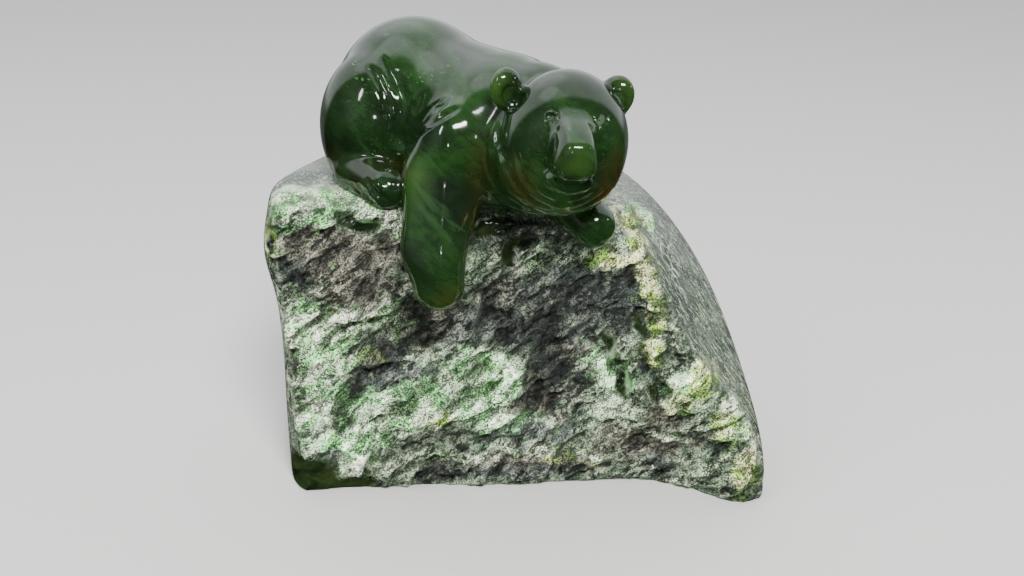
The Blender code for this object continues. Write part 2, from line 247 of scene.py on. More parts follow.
# Haunch, flank, shoulder and toe lines in the body's frame, each with its width and depth
FOLD = (24.3, -18, -5.7)
BODY_CREASES = [
    ([(20, -11, 18), (22, -17, 11), (23.5, -19, 4), (24.5, -18, -6)], 1.9, 2.2),
    ([(24, -8, 16), (24.5, -13, 11), (24.6, -16, 6)], 1.2, 1.0),
    ([FOLD, (23.3, -18.7, 3.9), (21, -18.5, 11.2)], 1.2, 1.3),
    ([FOLD, (23.1, -21, 3.7), (20.9, -22, 10.3)], 1.2, 1.3),
    ([FOLD, (22.6, -22.7, 5.2), (19.6, -24, 12.6)], 1.2, 1.3),
    ([(24, -21, -5), (28.4, -34.5, 7), (20.2, -36.5, 14)], 1.6, 1.8),
    ([(37.4, -12.3, -15.4), (38.3, -18.5, -17.2), (37.6, -21.7, -19.5)], 1.0, 1.2),
    ([(38.1, -20.3, -14.2), (37.3, -24, -16.4), (35.4, -25.2, -19.2)], 1.0, 1.2),
]


def carved(local, lines, sharp=False):
    """How far carved lines lower the surface, alike on both sides."""
    lowered = 0
    for side, (line, width, depth) in itertools.product((-1, 1), lines):
        lowered = lowered + crease(local, np.array(line) * (side, 1, 1), width, depth, sharp)
    return lowered


def body_field(points):
    """The rump, back, belly, haunches, feet and tail."""
    local = (points - RUMP) @ BODY
    return joined(local, BODY_MASSES) + carved(local, BODY_CREASES)


# Two flat facets down the front of the right arm, each a point on it and the way it faces
ARM_FACETS = [((-29.9, -42.5, 14.1), (-0.33, -0.89, 0.34)), ((-20.9, -42.1, 13.7), (0.42, -0.83, 0.3))]
FACET_BLEND = 3
# A line between two toes of the left paw, its width and depth, and how far each line lies to the left
TOE_LINE = np.array([(15, -49, 0), (15.5, -50, -4), (16, -48, -8)])
TOE_WIDTH = 0.9
TOE_DEPTH = 0.9
TOES = (-3, 1.5, 6)


def arms_field(points):
    """The right arm, which hangs down the rock, and the left one, which lies on it."""
    right, left = joined(points, RIGHT_ARM), joined(points, LEFT_ARM)
    for through, facing in ARM_FACETS:
        right = meet(right, plane(points, through, facing), FACET_BLEND)
    for toe in TOES:
        left = left + crease(points, TOE_LINE + (toe, 0, 0), TOE_WIDTH, TOE_DEPTH)
    return np.minimum(right, left)


def muzzle_field(local):
    """A rounded block with a sloping top and tapering cheeks."""
    field = block(local, MUZZLE_CENTRE, MUZZLE_HALF_SIDES, MUZZLE_ROUNDING)
    field = meet(field, plane(local, (0, -29, 9.8), (0, -0.42, 0.9)), 5)
    for side in (-1, 1):
        cheek = plane(local, (0.6 + side * 7, -25, 2), (side * 0.93, -0.2, 0.3))
        field = meet(field, cheek, 4)
    return field


def eye_field(field, local, side):
    """A small socket under the brow, with the eye in it."""
    middle = np.add(EYE_MIDDLE, (side * EYE_SPREAD, 0, 0))
    socket = Ellipsoid(middle, (2.6, 1.7, 1.7))
    eye = Ellipsoid(middle + (0, 1.1, 0), (1.4, 1.4, 1.2))
    return join(hollow(field, ellipsoid(local, socket), 0.8), ellipsoid(local, eye), 0.4)


def ear_field(field, local, side):
    """A round ear, tilted outwards, with its cup facing forwards."""
    turned = turn(yaw=-side * 30, roll=side * 18)
    ear = Ellipsoid((side * 15.8, 3, 15.3), (5.2, 3.6, 6.2), turned)
    cup = Ellipsoid((side * 14.2, -1.6, 14.0), (3.2, 3.6, 4.2), turned)
    return hollow(join(field, ellipsoid(local, ear), 2.5), ellipsoid(local, cup), 0.9)


# Crisp carved lines, each with its width and depth. Those of the head and body are in their own frames
RUFF_LINES = [
    ([(6, -26.5, 0.6), (3.5, -28.5, -0.9), (0, -29.2, -1.3), (-3.5, -28.5, -0.9)], 1.1, 0.9),
    ([(16.5, 4.6, 8), (17.2, 0.9, 1.5), (16.5, -5.4, -1.6), (14.8, -9.5, -4.7), (12, -12.1, -8.1),
      (7.6, -13.6, -11.4), (0, -14.2, -13.4)], 1.7, 0.9),
    ([(13.6, -10, 4), (11.7, -13.3, -3.2), (9.4, -14.7, -7), (5.6, -15.6, -10), (0, -15.8, -11.5)], 1.3, 0.6),
    ([(21.5, 5.6, 2), (20, 3, -5.7), (17.5, 1.3, -11.6), (13.1, 0.5, -16.5), (6, 0, -19)], 1.8, 1.0),
]
CRISP_FOLD = (24.7, -17.8, -4)
BODY_LINES = [
    ([(23, -2, 20), (24.4, -11.1, 13), (25.3, -14.4, 7), (25.5, -16.4, 0.6), (24.9, -17.4, -6)], 1.6, 1.1),
    ([(18.5, -4, 22), (21.6, -14.5, 13.2), (23.1, -17.5, 7.2), (24.5, -17.8, -1)], 1.5, 1.0),
    ([CRISP_FOLD, (22.8, -19.8, 6.2), (20.6, -19, 13.5)], 1.7, 1.1),
    ([CRISP_FOLD, (22.1, -22.8, 7.3), (19.9, -24.4, 14)], 1.7, 1.1),
    ([CRISP_FOLD, (22.3, -27.3, 6.3), (20.9, -35.5, 14)], 1.7, 1.1),
    ([(24.3, -17.8, -7), (23, -26, 2.8), (22.4, -40, 13.5)], 1.8, 1.0),
    ([(23.3, -21.2, -7), (28.4, -36, 5), (22, -43.5, 13.5)], 1.7, 0.9),
    ([(36, -9, -15.5), (38, -17.2, -18.1), (37.7, -23, -19.6)], 1.2, 0.6),
    ([(37, -16.5, -11.8), (37.7, -23.1, -15.3), (36, -26, -18.6)], 1.2, 0.6),
    ([(35.5, -22.5, -10.5), (35.8, -26.5, -14), (34, -28, -17.5)], 1.1, 0.5),
]
ARM_LINES = [
    ([(-21.9, -46.5, 12.6), (-25.5, -49, 6.8), (-26.4, -51.9, -2.3), (-25.7, -53, -9)], 2.4, 0.45),
    ([(-17.9, -43.1, 3.2), (-21.7, -47.2, -3.4), (-25.4, -52, -8.5)], 2.2, 0.5),
]


def head_field(points):
    """The skull, muzzle, chin, ruff, eyes and ears."""
    local = (points - HEAD) @ FACE
    field = hollow(joined(local, SKULL), ellipsoid(local, FACE_DISH), FACE_DISH.blend)
    field = join(field, muzzle_field(local), 4)
    field = join(field, ellipsoid(local, CHIN), CHIN.blend)
    field = join(field, ellipsoid(local, RUFF), RUFF.blend)
    for side in (-1, 1):
        field = ear_field(eye_field(field, local, side), local, side)
    return field


def bear_field(points):
    """The whole bear, before its underside is cut to the rock."""
    points = points - SEAT
    field = join(body_field(points), arms_field(points), 4)
    field = join(field, head_field(points), 3)
    field = field + carved((points - HEAD) @ FACE, RUFF_LINES, sharp=True)
    field = field + carved((points - RUMP) @ BODY, BODY_LINES, sharp=True)
    for line, width, depth in ARM_LINES:
        field = field + crease(points, line, width, depth, sharp=True)
    return field


# The rock, in mm from under its middle: +X right, -Y the broken face, +Z up

# Each cut is a point on it, the way it faces and how softly it meets the cuts before it
ROCK_CUTS = [
    ((-80, -37, 30), (-0.75, -0.8, 0.05), 8),
    ((-80, -20, 98), (-0.4, 0, 1), 6),
    ((-30, 0, 97), (0, -0.02, 1), 8),
    ((-45, -30, 96), (0.09, -0.6, 0.8), 5),
    ((-76, 20, 50), (-0.9, 0.55, 0.1), 12),
    ((30, 0, 94), (0.26, 0, 0.96), 12),
    ((54, -4, 81), (0.62, 0, 0.78), 14),
    ((69, -12, 57), (0.85, -0.05, 0.5), 16),
    ((81, -40, 14), (0.98, 0.03, 0.17), 14),
    ((82, -46, 4), (0.95, -0.3, -0.05), 10),
    ((0, 49, 50), (0, 1, 0.12), 26),
    ((55, 36, 50), (0.7, 0.7, 0.1), 24),
    ((37, -41, 76), (0.69, -0.46, 0.56), 5),
]
# The way that the broken face's layers run, up to the right
LAYERS = turn(roll=-38)


def boulder_field(points):
    """The worn and polished outside of the boulder, before its front was broken off."""
    z = points[:, 2]
    waist = 0.6 * bump(z, 45, 16) - 3 * bump(z, 79, 11)
    field = plane(points, (-81.3, -20, 40), (-1, -0.12, 0)) + waist
    for through, facing, blend in ROCK_CUTS:
        field = meet(field, plane(points, through, facing), blend)
    return field


def break_relief(points):
    """Lumps and stepped layers of the broken face, a few mm deep."""
    local = points @ LAYERS
    broad = 2.2 * noise(local / (26, 30, 11))
    steps = 1.4 * np.abs(noise(local / (18, 20, 6.5) + 7.3))
    return broad + steps - 0.6


def break_field(points):
    """The broken front face: hollow in the middle, with a ledge below and a foot at its lower right."""
    x, _, z = points.T
    foot = 15 * bump(x, 72, 17) * bump(np.maximum(z, 0), 0, 26)
    shoulder = 12 * bump(x, 52, 20) * bump(z, 45, 30)
    ledge = 2.5 * bump(z, 14, 9) * (1 + 0.3 * np.sin(x / 11))
    middle = 4.5 * bump(x, -5, 36) * bump(z, 42, 24)
    face = plane(points, (-30, -43, 10), (0, -1, 0.12))
    return face - foot - shoulder - ledge + middle


# Hollows and ledge lines of the broken face, each with its width and depth
HOLLOWS = [
    ([(-67, -44, 16), (-58, -40, 31), (-51, -38, 42), (-44, -37, 54), (-39, -36, 62), (-30, -35, 69)],
     5, 2.6),
    ([(-31, -35, 65), (-19, -35, 61), (-9, -34, 59), (1, -35, 63)], 1.8, 1.7),
    ([(-50, -45, 15), (-32, -43, 17), (-19, -42, 18), (-9, -43, 17), (8, -44, 15)], 1.7, 2.2),
    ([(30, -46, 16), (45, -49, 20), (56, -52, 20), (68, -56, 17)], 1.7, 2.2),
    ([(22, -35, 77), (23, -36, 69), (20, -36, 61)], 0.9, 1.8),
    ([(7, -35, 62), (5, -35, 48), (4, -36, 36), (0, -42, 18)], 6, 2.0),
    ([(14, -36, 57), (24, -38, 49), (32, -42, 38), (38, -45, 27)], 2.4, 1.8),
    ([(33, -43, 56), (39, -46, 42), (45, -49, 36), (54, -51, 30)], 2.2, 1.7),
    ([(-79, -34, 83), (-72, -36, 70), (-61, -37, 60)], 2.5, 1.4),
]


def rock_field(points):
    """The rock, sawn flat at the ground."""
    worn, broken = boulder_field(points), break_field(points)
    rough = smooth_step(broken - worn, -2.5, 1.5)
    field = meet(worn, broken - rough * break_relief(points), 2.5)
    return np.maximum(field, -points[:, 2])


def seated_bear_field(points):
    """The bear with its underside cut to lie on the rock."""
    return np.maximum(bear_field(points), SEAT_GAP - rock_field(points))


# Colour patches of the stone: a middle, half sizes along the three axes, and a strength

PATCHES = {
    "leaf": [
        ((-71, -29, 96), (11, 14, 7), 1.2), ((-60, -27, 96), (15, 12, 7), 1.2),
        ((-15, -34, 36), (12, 9, 10), 1.3), ((-45, -40, 29), (22, 9, 7), 1.1),
        ((-30, -38, 30), (15, 9, 8), 1.1), ((39, -22, 88), (7, 8, 5), 0.9),
        ((-67, -39, 44), (12, 9, 12), 0.7), ((-58, -42, 20), (16, 9, 8), 0.7),
        ((29, -39, 42), (9, 9, 10), 0.8), ((48, -50, 37), (7, 9, 9), 0.7),
        ((-72, -36, 60), (7, 9, 6), 0.8), ((-8, -41, 22), (14, 9, 4), 0.7),
    ],
    "pale": [
        ((-54, -30, 96), (9, 9, 5), 1), ((-43, -32, 92), (8, 8, 5), 1), ((-73, -37, 56), (11, 9, 13), 1),
        ((-62, -37, 55), (11, 9, 10), 0.9), ((-46, -36, 59), (11, 9, 8), 0.7),
        ((-76, -39, 35), (9, 9, 13), 1), ((-50, -41, 27), (11, 9, 7), 1.1),
        ((14, -45, 12), (20, 9, 2.5), 0.5), ((-20, -44, 11), (22, 9, 2.5), 0.45),
        ((-55, -46, 9), (10, 9, 5), 0.8), ((46, -49, 19), (6, 8, 2), 1.2),
        ((43, -25, 82), (7, 8, 8), 0.6), ((-2, -34, 77), (4, 6, 5), 1), ((47, -28, 74), (7, 9, 12), 0.5),
        ((34, -12, 91), (8, 10, 5), 0.4), ((-66, -39, 44), (10, 9, 8), 0.8),
        ((67, -53, 30), (7, 9, 12), 0.8), ((76, -55, 13), (7, 9, 10), 0.8),
    ],
    "yellow": [
        ((24, -35, 79), (5, 7, 3), 1.1), ((31, -35, 78), (5, 7, 3), 1), ((38, -38, 72), (3.5, 8, 6), 1.1),
        ((40, -42, 62), (3, 8, 6), 1), ((40, -45, 50), (3.5, 8, 6), 0.9), ((48, -50, 33), (5, 9, 6), 0.7),
        ((56, -51, 41), (6, 9, 9), 0.7), ((64, -52, 25), (6, 12, 9), 0.6),
        ((72, -58, 10), (6, 10, 9), 0.8), ((34, -26, 88), (6, 8, 4), 0.9), ((34, -33, 83), (3, 7, 5), 1),
        ((-81, -31, 87), (3, 9, 7), 0.9), ((-52, -40, 47), (5, 7, 3), 0.6),
        ((-30, -41, 23), (7, 7, 2.5), 0.7), ((12, -45, 9), (10, 7, 2), 0.6),
    ],
    "brown": [
        ((-63, -34, 82), (18, 9, 9), 1), ((-46, -34, 84), (9, 9, 9), 1),
        ((-53, -36, 71), (16, 9, 9), 0.9), ((-30, -35, 58), (20, 9, 10), 0.8),
        ((-6, -35, 65), (14, 9, 8), 0.8), ((14, -35, 51), (18, 9, 9), 0.8),
        ((3, -37, 30), (16, 9, 10), 0.7), ((39, -47, 17), (16, 9, 7), 1), ((45, -49, 28), (9, 9, 7), 0.8),
        ((0, -44, 9), (42, 9, 5), 0.7),
    ],
    # Painted shade among the slate: the patches along the diagonal hollow at the left, from (-65, -44, 17) up
    # to (-38, -36, 60), and the wide one at (-4, -33, 88) under the bear's chest are dark where shade falls
    "slate_and_shade": [
        ((-55, -40, 32), (6, 8, 10), 1), ((-47, -38, 41), (7, 8, 7), 1), ((-63, -42, 24), (6, 8, 6), 0.9),
        ((-3, -34, 55), (24, 9, 12), 0.9), ((12, -35, 66), (16, 9, 11), 1),
        ((23, -37, 57), (11, 9, 11), 0.9), ((-1, -42, 19), (22, 9, 4), 0.9),
        ((45, -47, 6), (8, 9, 4), 0.9), ((8, -36, 40), (16, 9, 10), 0.6), ((31, -37, 66), (7, 9, 8), 1),
        ((-8, -44, 5), (30, 9, 3), 0.8), ((-24, -39, 52), (8, 9, 5), 0.7),
        ((-65, -44, 17), (5, 8, 6), 0.9), ((-46, -37, 50), (5, 8, 8), 0.9),
        ((-38, -36, 60), (7, 8, 7), 0.8), ((-4, -33, 88), (16, 8, 4), 1),
        ((-74, -35, 74), (7, 9, 7), 0.8), ((-36, -38, 40), (10, 9, 6), 0.6),
    ],
    "glass": [
        ((-52, -33, 90), (6, 7, 2), 1.1), ((-6, -34, 80), (3, 6, 4), 1.1),
        ((-3, -34, 84), (4, 6, 2), 1.1), ((32, -43, 37), (2.4, 8, 5), 0.9),
        ((27, -39, 49), (2, 8, 5), 0.7), ((-74, -44, 6), (11, 9, 7), 1.3),
        ((-62, -45, 2), (10, 9, 3), 1.1), ((-82, -34, 86), (2, 7, 4), 1.1),
        ((39, -47, 36), (1.8, 8, 5), 0.8), ((35, -41, 58), (2.5, 8, 4), 0.8),
        ((-13, -34, 88), (6, 6, 3.5), 1),
    ],
}


def patch(points, kind, ragged):
    """How much of this stone shows at each point, with borders made ragged by a noise."""
    found = np.zeros(len(points))
    for middle, sides, strength in PATCHES[kind]:
        found = np.maximum(found, strength * (1.5 - away_from(points, middle, sides)))
    return smooth_step(found + ragged, 0.25, 0.75)


# Meshes

def points_of(mesh):
    """The mesh's points as rows of numbers."""
    found = np.empty(len(mesh.vertices) * 3)
    mesh.vertices.foreach_get("co", found)
    return found.reshape(-1, 3)


def set_points(mesh, points):
    """Moves the mesh's points."""
    mesh.vertices.foreach_set("co", points.ravel())
    mesh.update()


def slope_of(points, distance, value):
    """How steeply the field rises along each axis, measured over a short way in mm."""
    short = 0.02
    return np.stack([distance(points + short * way) - value for way in np.eye(3)], axis=1) / short


def settled(points, distance, rounds):
    """The points moved along the field's slope until they lie on the form."""
    for _ in range(rounds):
        value = distance(points)
        slope = slope_of(points, distance, value)
        steepness = np.maximum((slope ** 2).sum(axis=1), 0.2)
        points = points - slope * (value / steepness)[:, None]
    return points


def drawing_offset(node):
    """Where the drawing's origin is in the frame, in mm: the shift that brings the rock onto its field."""
    points = points_of(node.data) / MM
    points = points[(points[:, 2] > 5) & (points[:, 2] < 80)]
    shift = np.zeros(3)
    for _ in range(6):
        value = rock_field(points + shift)
        slope = slope_of(points + shift, rock_field, value)[:, :2]
        shift[:2] -= np.linalg.lstsq(slope, value, rcond=None)[0]
    return -shift


def evaluated(obj):
    """A new mesh with the object's modifiers applied."""
    graph = bpy.context.evaluated_depsgraph_get()
    return bpy.data.meshes.new_from_object(obj.evaluated_get(graph))


def fine_copy(name, node, voxel):
    """The solid's mesh with even, small faces."""
    obj = bpy.data.objects.new(name, node.data.copy())
    bpy.context.scene.collection.objects.link(obj)
    modifier = obj.modifiers.new("even mesh", "REMESH")
    modifier.mode = "VOXEL"
    modifier.voxel_size = voxel * MM
    mesh = evaluated(obj)
    obj.modifiers.clear()
    obj.data = mesh
    return obj


def add_mask(mesh, name, values):
    """Stores a value at each point, for the material to read."""
    mesh.attributes.new(name, "FLOAT", "POINT").data.foreach_set("value", values.astype(np.float32))


ORIGIN = drawing_offset(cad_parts["rock_base"])


def make_bear():
    """The bear's fine mesh, with its masks."""
    bear = fine_copy("bear_polished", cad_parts["bear"], BEAR_VOXEL)
    points = settled(points_of(bear.data) / MM - ORIGIN, seated_bear_field, 4)
    set_points(bear.data, (points + ORIGIN) * MM)
    add_bear_masks(bear.data, points)
    bear.data.shade_smooth()
    return bear


# Where the bear's stone turns brown, in mm from the seat: a middle, half sizes and a strength
BROWNS = [
    ((19, -57, 16), (6, 10, 12), 1.5), ((-6, -60, 15), (8, 8, 10), 0.55), ((-42, -22, 4), (14, 8, 8), 0.9),
    ((-58, -4, 6), (8, 12, 9), 0.9), ((-34, -34, 12), (9, 7, 5), 0.8), ((-16, -42, 14), (5, 9, 12), 0.5),
    ((-25, -52, -26), (8, 8, 8), 0.6), ((-17, -42, 0), (7, 7, 8), 0.5), ((2, -64, 8), (10, 8, 5), 0.6),
    ((-62, 4, 26), (5, 9, 9), 0.6),
]


# Places where a lighter colour paints the glow of light through thinner stone: one in the head's frame, two
# from the seat
NOSE = (0.6, -29, 5)
RIGHT_PAW = (-29, -46, -24)
UPPER_ARM = (-36, -42, 12)


def add_bear_masks(mesh, points):
    """Where a lighter colour paints the glow of light through thinner stone, where it is brown, and where it
    has bright flecks.
    """
    local = points - SEAT
    head = (local - HEAD) @ FACE
    painted_glow = 0.45 * (1 - away_from(head, NOSE, (9, 6, 7)))
    for side in (-1, 1):
        painted_glow = np.maximum(painted_glow, 1.1 - away_from(head, (side * 19.5, 3, 17), (6, 6, 8)))
    painted_glow = np.maximum(painted_glow, 0.4 * (1 - away_from(local, RIGHT_PAW, (12, 12, 10))))
    painted_glow = np.maximum(painted_glow, 0.5 * (1 - away_from(local, UPPER_ARM, (8, 11, 10))))
    add_mask(mesh, "painted_glow", np.clip(painted_glow, 0, 1))
    brown = np.zeros(len(points))
    for middle, sides, strength in BROWNS:
        brown = np.maximum(brown, strength * (1.2 - away_from(local, middle, sides)))
    add_mask(mesh, "brown", np.clip(brown, 0, 1))
    off_head = smooth_step(np.linalg.norm(local - HEAD, axis=1), 22, 32)
    add_mask(mesh, "flecked", off_head * smooth_step(local[:, 2], 24, 38))


# How far the finer faces of the broken front reach into the worn stone beside it, in mm
FRONT_RIM = 3


def refine_front(obj):
    """Halves the faces of the broken front."""
    mesh = obj.data
    points = points_of(mesh) / MM - ORIGIN
    on_front = break_field(points) - boulder_field(points) > -FRONT_RIM
    bm = bmesh.new()
    bm.from_mesh(mesh)
    chosen = [edge for edge in bm.edges if all(on_front[vert.index] for vert in edge.verts)]
    bmesh.ops.subdivide_edges(bm, edges=chosen, cuts=1, use_grid_fill=True)
    bm.to_mesh(mesh)
    bm.free()


def flatten_underside(obj):
    """Replaces the many small faces of the sawn underside by one."""
    ground = 0.3 * MM
    bm = bmesh.new()
    bm.from_mesh(obj.data)
    for vert in bm.verts:
        if vert.co.z < ground:
            vert.co.z = 0
    flat = [face for face in bm.faces if all(vert.co.z == 0 for vert in face.verts)]
    bmesh.ops.delete(bm, geom=flat, context="FACES")
    rim = [edge for edge in bm.edges if edge.is_boundary]
    bmesh.ops.contextual_create(bm, geom=rim)
    bm.to_mesh(obj.data)
    bm.free()


# Heights of the broken stone's forms, in mm
LUMP_HEIGHT = 2.2
LEDGE_HEIGHTS = (0.5, 1.6)
RIDGE_HEIGHT = 1.0
CHIP_HEIGHT = 0.65


def grain(points):
    """The lumps, ledges, splinters and pits of broken nephrite, in mm."""
    bent = points + 8 * np.stack([noise(points / 24 + shift) for shift in (3.1, 11.7, 23.9)], axis=1)
    bent = bent + 1.6 * np.stack([noise(points / 6 + shift) for shift in (31, 37, 43)], axis=1)
    local = bent @ LAYERS
    lumps = noise(local / (17, 18, 9) + 120)
    layer = local[:, 2] / 8 + 0.8 * noise(local / (14, 16, 12) + 5)
    ramp = layer - np.floor(layer)
    ledges = (1 - ramp) * smooth_step(ramp, 0, 0.12)
    ridges = 1 - np.abs(noise(local / (11, 11, 3.6) + 40)) * 2
    chips = 1 - np.abs(noise(local / (4, 4, 1.7) + 80)) * 2
    hollows = 0
    for line, width, depth in HOLLOWS:
        hollows = hollows + crease(points, line, width, depth)
    broken_off = smooth_step(noise(local / (22, 24, 15) + 160), -0.3, 0.4)
    everywhere, where_broken_off = LEDGE_HEIGHTS
    ledges = (everywhere + where_broken_off * broken_off) * (ledges - 0.4)
    splinters = RIDGE_HEIGHT * (ridges - 0.4) + CHIP_HEIGHT * (chips - 0.4)
    return LUMP_HEIGHT * lumps + ledges + splinters - hollows


def make_rock():
    """The rock's fine mesh, with the relief of its broken stone and its masks."""
    rock = fine_copy("rock_stone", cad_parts["rock_base"], ROCK_VOXEL)
    points = settled(points_of(rock.data) / MM - ORIGIN, rock_field, 3)
    set_points(rock.data, (points + ORIGIN) * MM)
    flatten_underside(rock)
    refine_front(rock)
    points = settled(points_of(rock.data) / MM - ORIGIN, rock_field, 2)
    rough = smooth_step(break_field(points) - boulder_field(points), -3.0, 0.5)
    glass = patch(points, "glass", 0.25 * noise(points / 4))
    near_bear = smooth_step(bear_field(points), 0.5, 4)
    above_ground = smooth_step(points[:, 2], 0, 1.5)
    crust = patch(points, "leaf", 0.3 * noise(points / 5)) * smooth_step(-points[:, 1], 12, 20)
    crust = np.maximum(crust, patch(points, "yellow", 0.3 * noise(points / 5)))
    relief = np.maximum(rough * (1 - 0.75 * glass), 0.5 * crust) * near_bear * above_ground
    value = rock_field(points)
    slope = slope_of(points, rock_field, value)
    normal = slope / np.maximum(np.linalg.norm(slope, axis=1), 1e-6)[:, None]
    raised = relief * (grain(points) - 0.2)
    points = points + normal * raised[:, None]
    points[:, 2] = np.maximum(points[:, 2], 0)
    set_points(rock.data, (points + ORIGIN) * MM)
    add_rock_masks(rock.data, points, np.maximum(rough, 0.9 * crust) * (1 - glass), raised)
    rock.data.shade_smooth()
    return rock


# The dark glassy stone has smoother borders than the other kinds
GLASS_RAGGEDNESS = 0.6


def add_rock_masks(mesh, points, rough, raised):
    """Where the stone is rough, how far it is raised, and how much of each kind shows."""
    warped = points + 3 * np.stack([noise(points / 9 + shift) for shift in (60, 70, 80)], axis=1)
    ragged = 0.42 * noise(points / 5) + 0.32 * noise(points / 2)
    add_mask(mesh, "rough", rough)
    # The material paints shade where this height is low and light where it is high
    add_mask(mesh, "raised", np.clip(0.5 + raised / 3, 0, 1))
    for kind in PATCHES:
        share = GLASS_RAGGEDNESS if kind == "glass" else 1
        add_mask(mesh, kind, patch(warped, kind, ragged * share))


# Materials

class Nodes:
    """A small helper that adds shader nodes and links them."""

    def __init__(self, name):
        self.material = bpy.data.materials.new(name)
        self.material.use_nodes = True
        self.tree = self.material.node_tree
        self.shader = self.tree.nodes["Principled BSDF"]
        self.place = self.tree.nodes.new("ShaderNodeTexCoord").outputs["Object"]

    def put(self, socket, value):
        """Links an output to the socket, or sets a plain value there."""
        if hasattr(value, "links"):
            self.tree.links.new(value, socket)
        elif value is not None:
            socket.default_value = value

    def mask(self, name):
        """A value stored in the mesh."""
        node = self.tree.nodes.new("ShaderNodeAttribute")
        node.attribute_name = name
        return node.outputs["Fac"]

    def math(self, how, one, other=None, third=None):
        """A sum, product or other function of up to three values."""
        node = self.tree.nodes.new("ShaderNodeMath")
        node.operation = how
        for socket, value in zip(node.inputs, (one, other, third)):
            self.put(socket, value)
        return node.outputs[0]

    def step(self, value, low, high, bottom=0.0, top=1.0):
        """From bottom to top, smoothly, as the value goes from low to high."""
        node = self.tree.nodes.new("ShaderNodeMapRange")
        node.interpolation_type = "SMOOTHSTEP"
        ends = zip(("From Min", "From Max", "To Min", "To Max"), (low, high, bottom, top))
        self.put(node.inputs["Value"], value)
        for key, given in ends:
            self.put(node.inputs[key], given)
        return node.outputs["Result"]

    def stretched(self, size, turned=(0, 0, 0)):
        """The place in mm, divided by the sizes of the grain along the three turned axes."""
        node = self.tree.nodes.new("ShaderNodeMapping")
        node.vector_type = "TEXTURE"
        self.put(node.inputs["Vector"], self.place)
        node.inputs["Rotation"].default_value = turned
        node.inputs["Scale"].default_value = [s * MM for s in size]
        return node.outputs[0]

    def noise(self, where, detail=4.0, rough=0.55, warp=0.0):
        """Cloudy noise from 0 to 1."""
        node = self.tree.nodes.new("ShaderNodeTexNoise")
        self.put(node.inputs["Vector"], where)
        for key, given in (("Scale", 1.0), ("Detail", detail), ("Roughness", rough), ("Distortion", warp)):
            node.inputs[key].default_value = given
        return node.outputs["Fac"]

    def cells(self, where, feature="F1", output="Distance"):
        """Cells with a middle each: the distance to it, or each cell's own random colour."""
        node = self.tree.nodes.new("ShaderNodeTexVoronoi")
        node.feature = feature
        self.put(node.inputs["Vector"], where)
        node.inputs["Scale"].default_value = 1
        return node.outputs[output]

    def shaken(self, where, amount):
        """The same place, pushed about by a noise."""
        node = self.tree.nodes.new("ShaderNodeTexNoise")
        self.put(node.inputs["Vector"], where)
        node.inputs["Scale"].default_value = 0.9
        push = self.tree.nodes.new("ShaderNodeVectorMath")
        push.operation = "MULTIPLY_ADD"
        self.put(push.inputs[0], node.outputs["Color"])
        push.inputs[1].default_value = (amount, amount, amount)
        self.put(push.inputs[2], where)
        return push.outputs[0]

    def blend(self, *parts):
        """The sum of several values, each times its share."""
        total = None
        for value, share in parts:
            part = self.math("MULTIPLY", value, share)
            total = part if total is None else self.math("ADD", total, part)
        return total

    def ramp(self, value, *stops):
        """A colour that changes with the value. Each stop is a position and a colour."""
        node = self.tree.nodes.new("ShaderNodeValToRGB")
        elements = node.color_ramp.elements
        while len(elements) < len(stops):
            elements.new(1)
        for element, (position, colour) in zip(elements, stops):
            element.position = position
            element.color = (*colour, 1)
        self.put(node.inputs[0], value)
        return node.outputs[0]

    def mix(self, share, one, other, how="MIX"):
        """Two colours mixed or multiplied, by the other one's share."""
        node = self.tree.nodes.new("ShaderNodeMix")
        node.data_type = "RGBA"
        node.blend_type = how
        self.put(node.inputs["Factor"], share)
        colours = [socket for socket in node.inputs if socket.type == "RGBA"]
        for socket, value in zip(colours, (one, other)):
            self.put(socket, (*value, 1) if isinstance(value, tuple) else value)
        return node.outputs[2]

    def bumped(self, height, depth):
        """The surface's direction, roughened by a height of 0 to 1 times the depth in mm."""
        node = self.tree.nodes.new("ShaderNodeBump")
        node.inputs["Distance"].default_value = depth * MM
        self.put(node.inputs["Height"], height)
        return node.outputs[0]


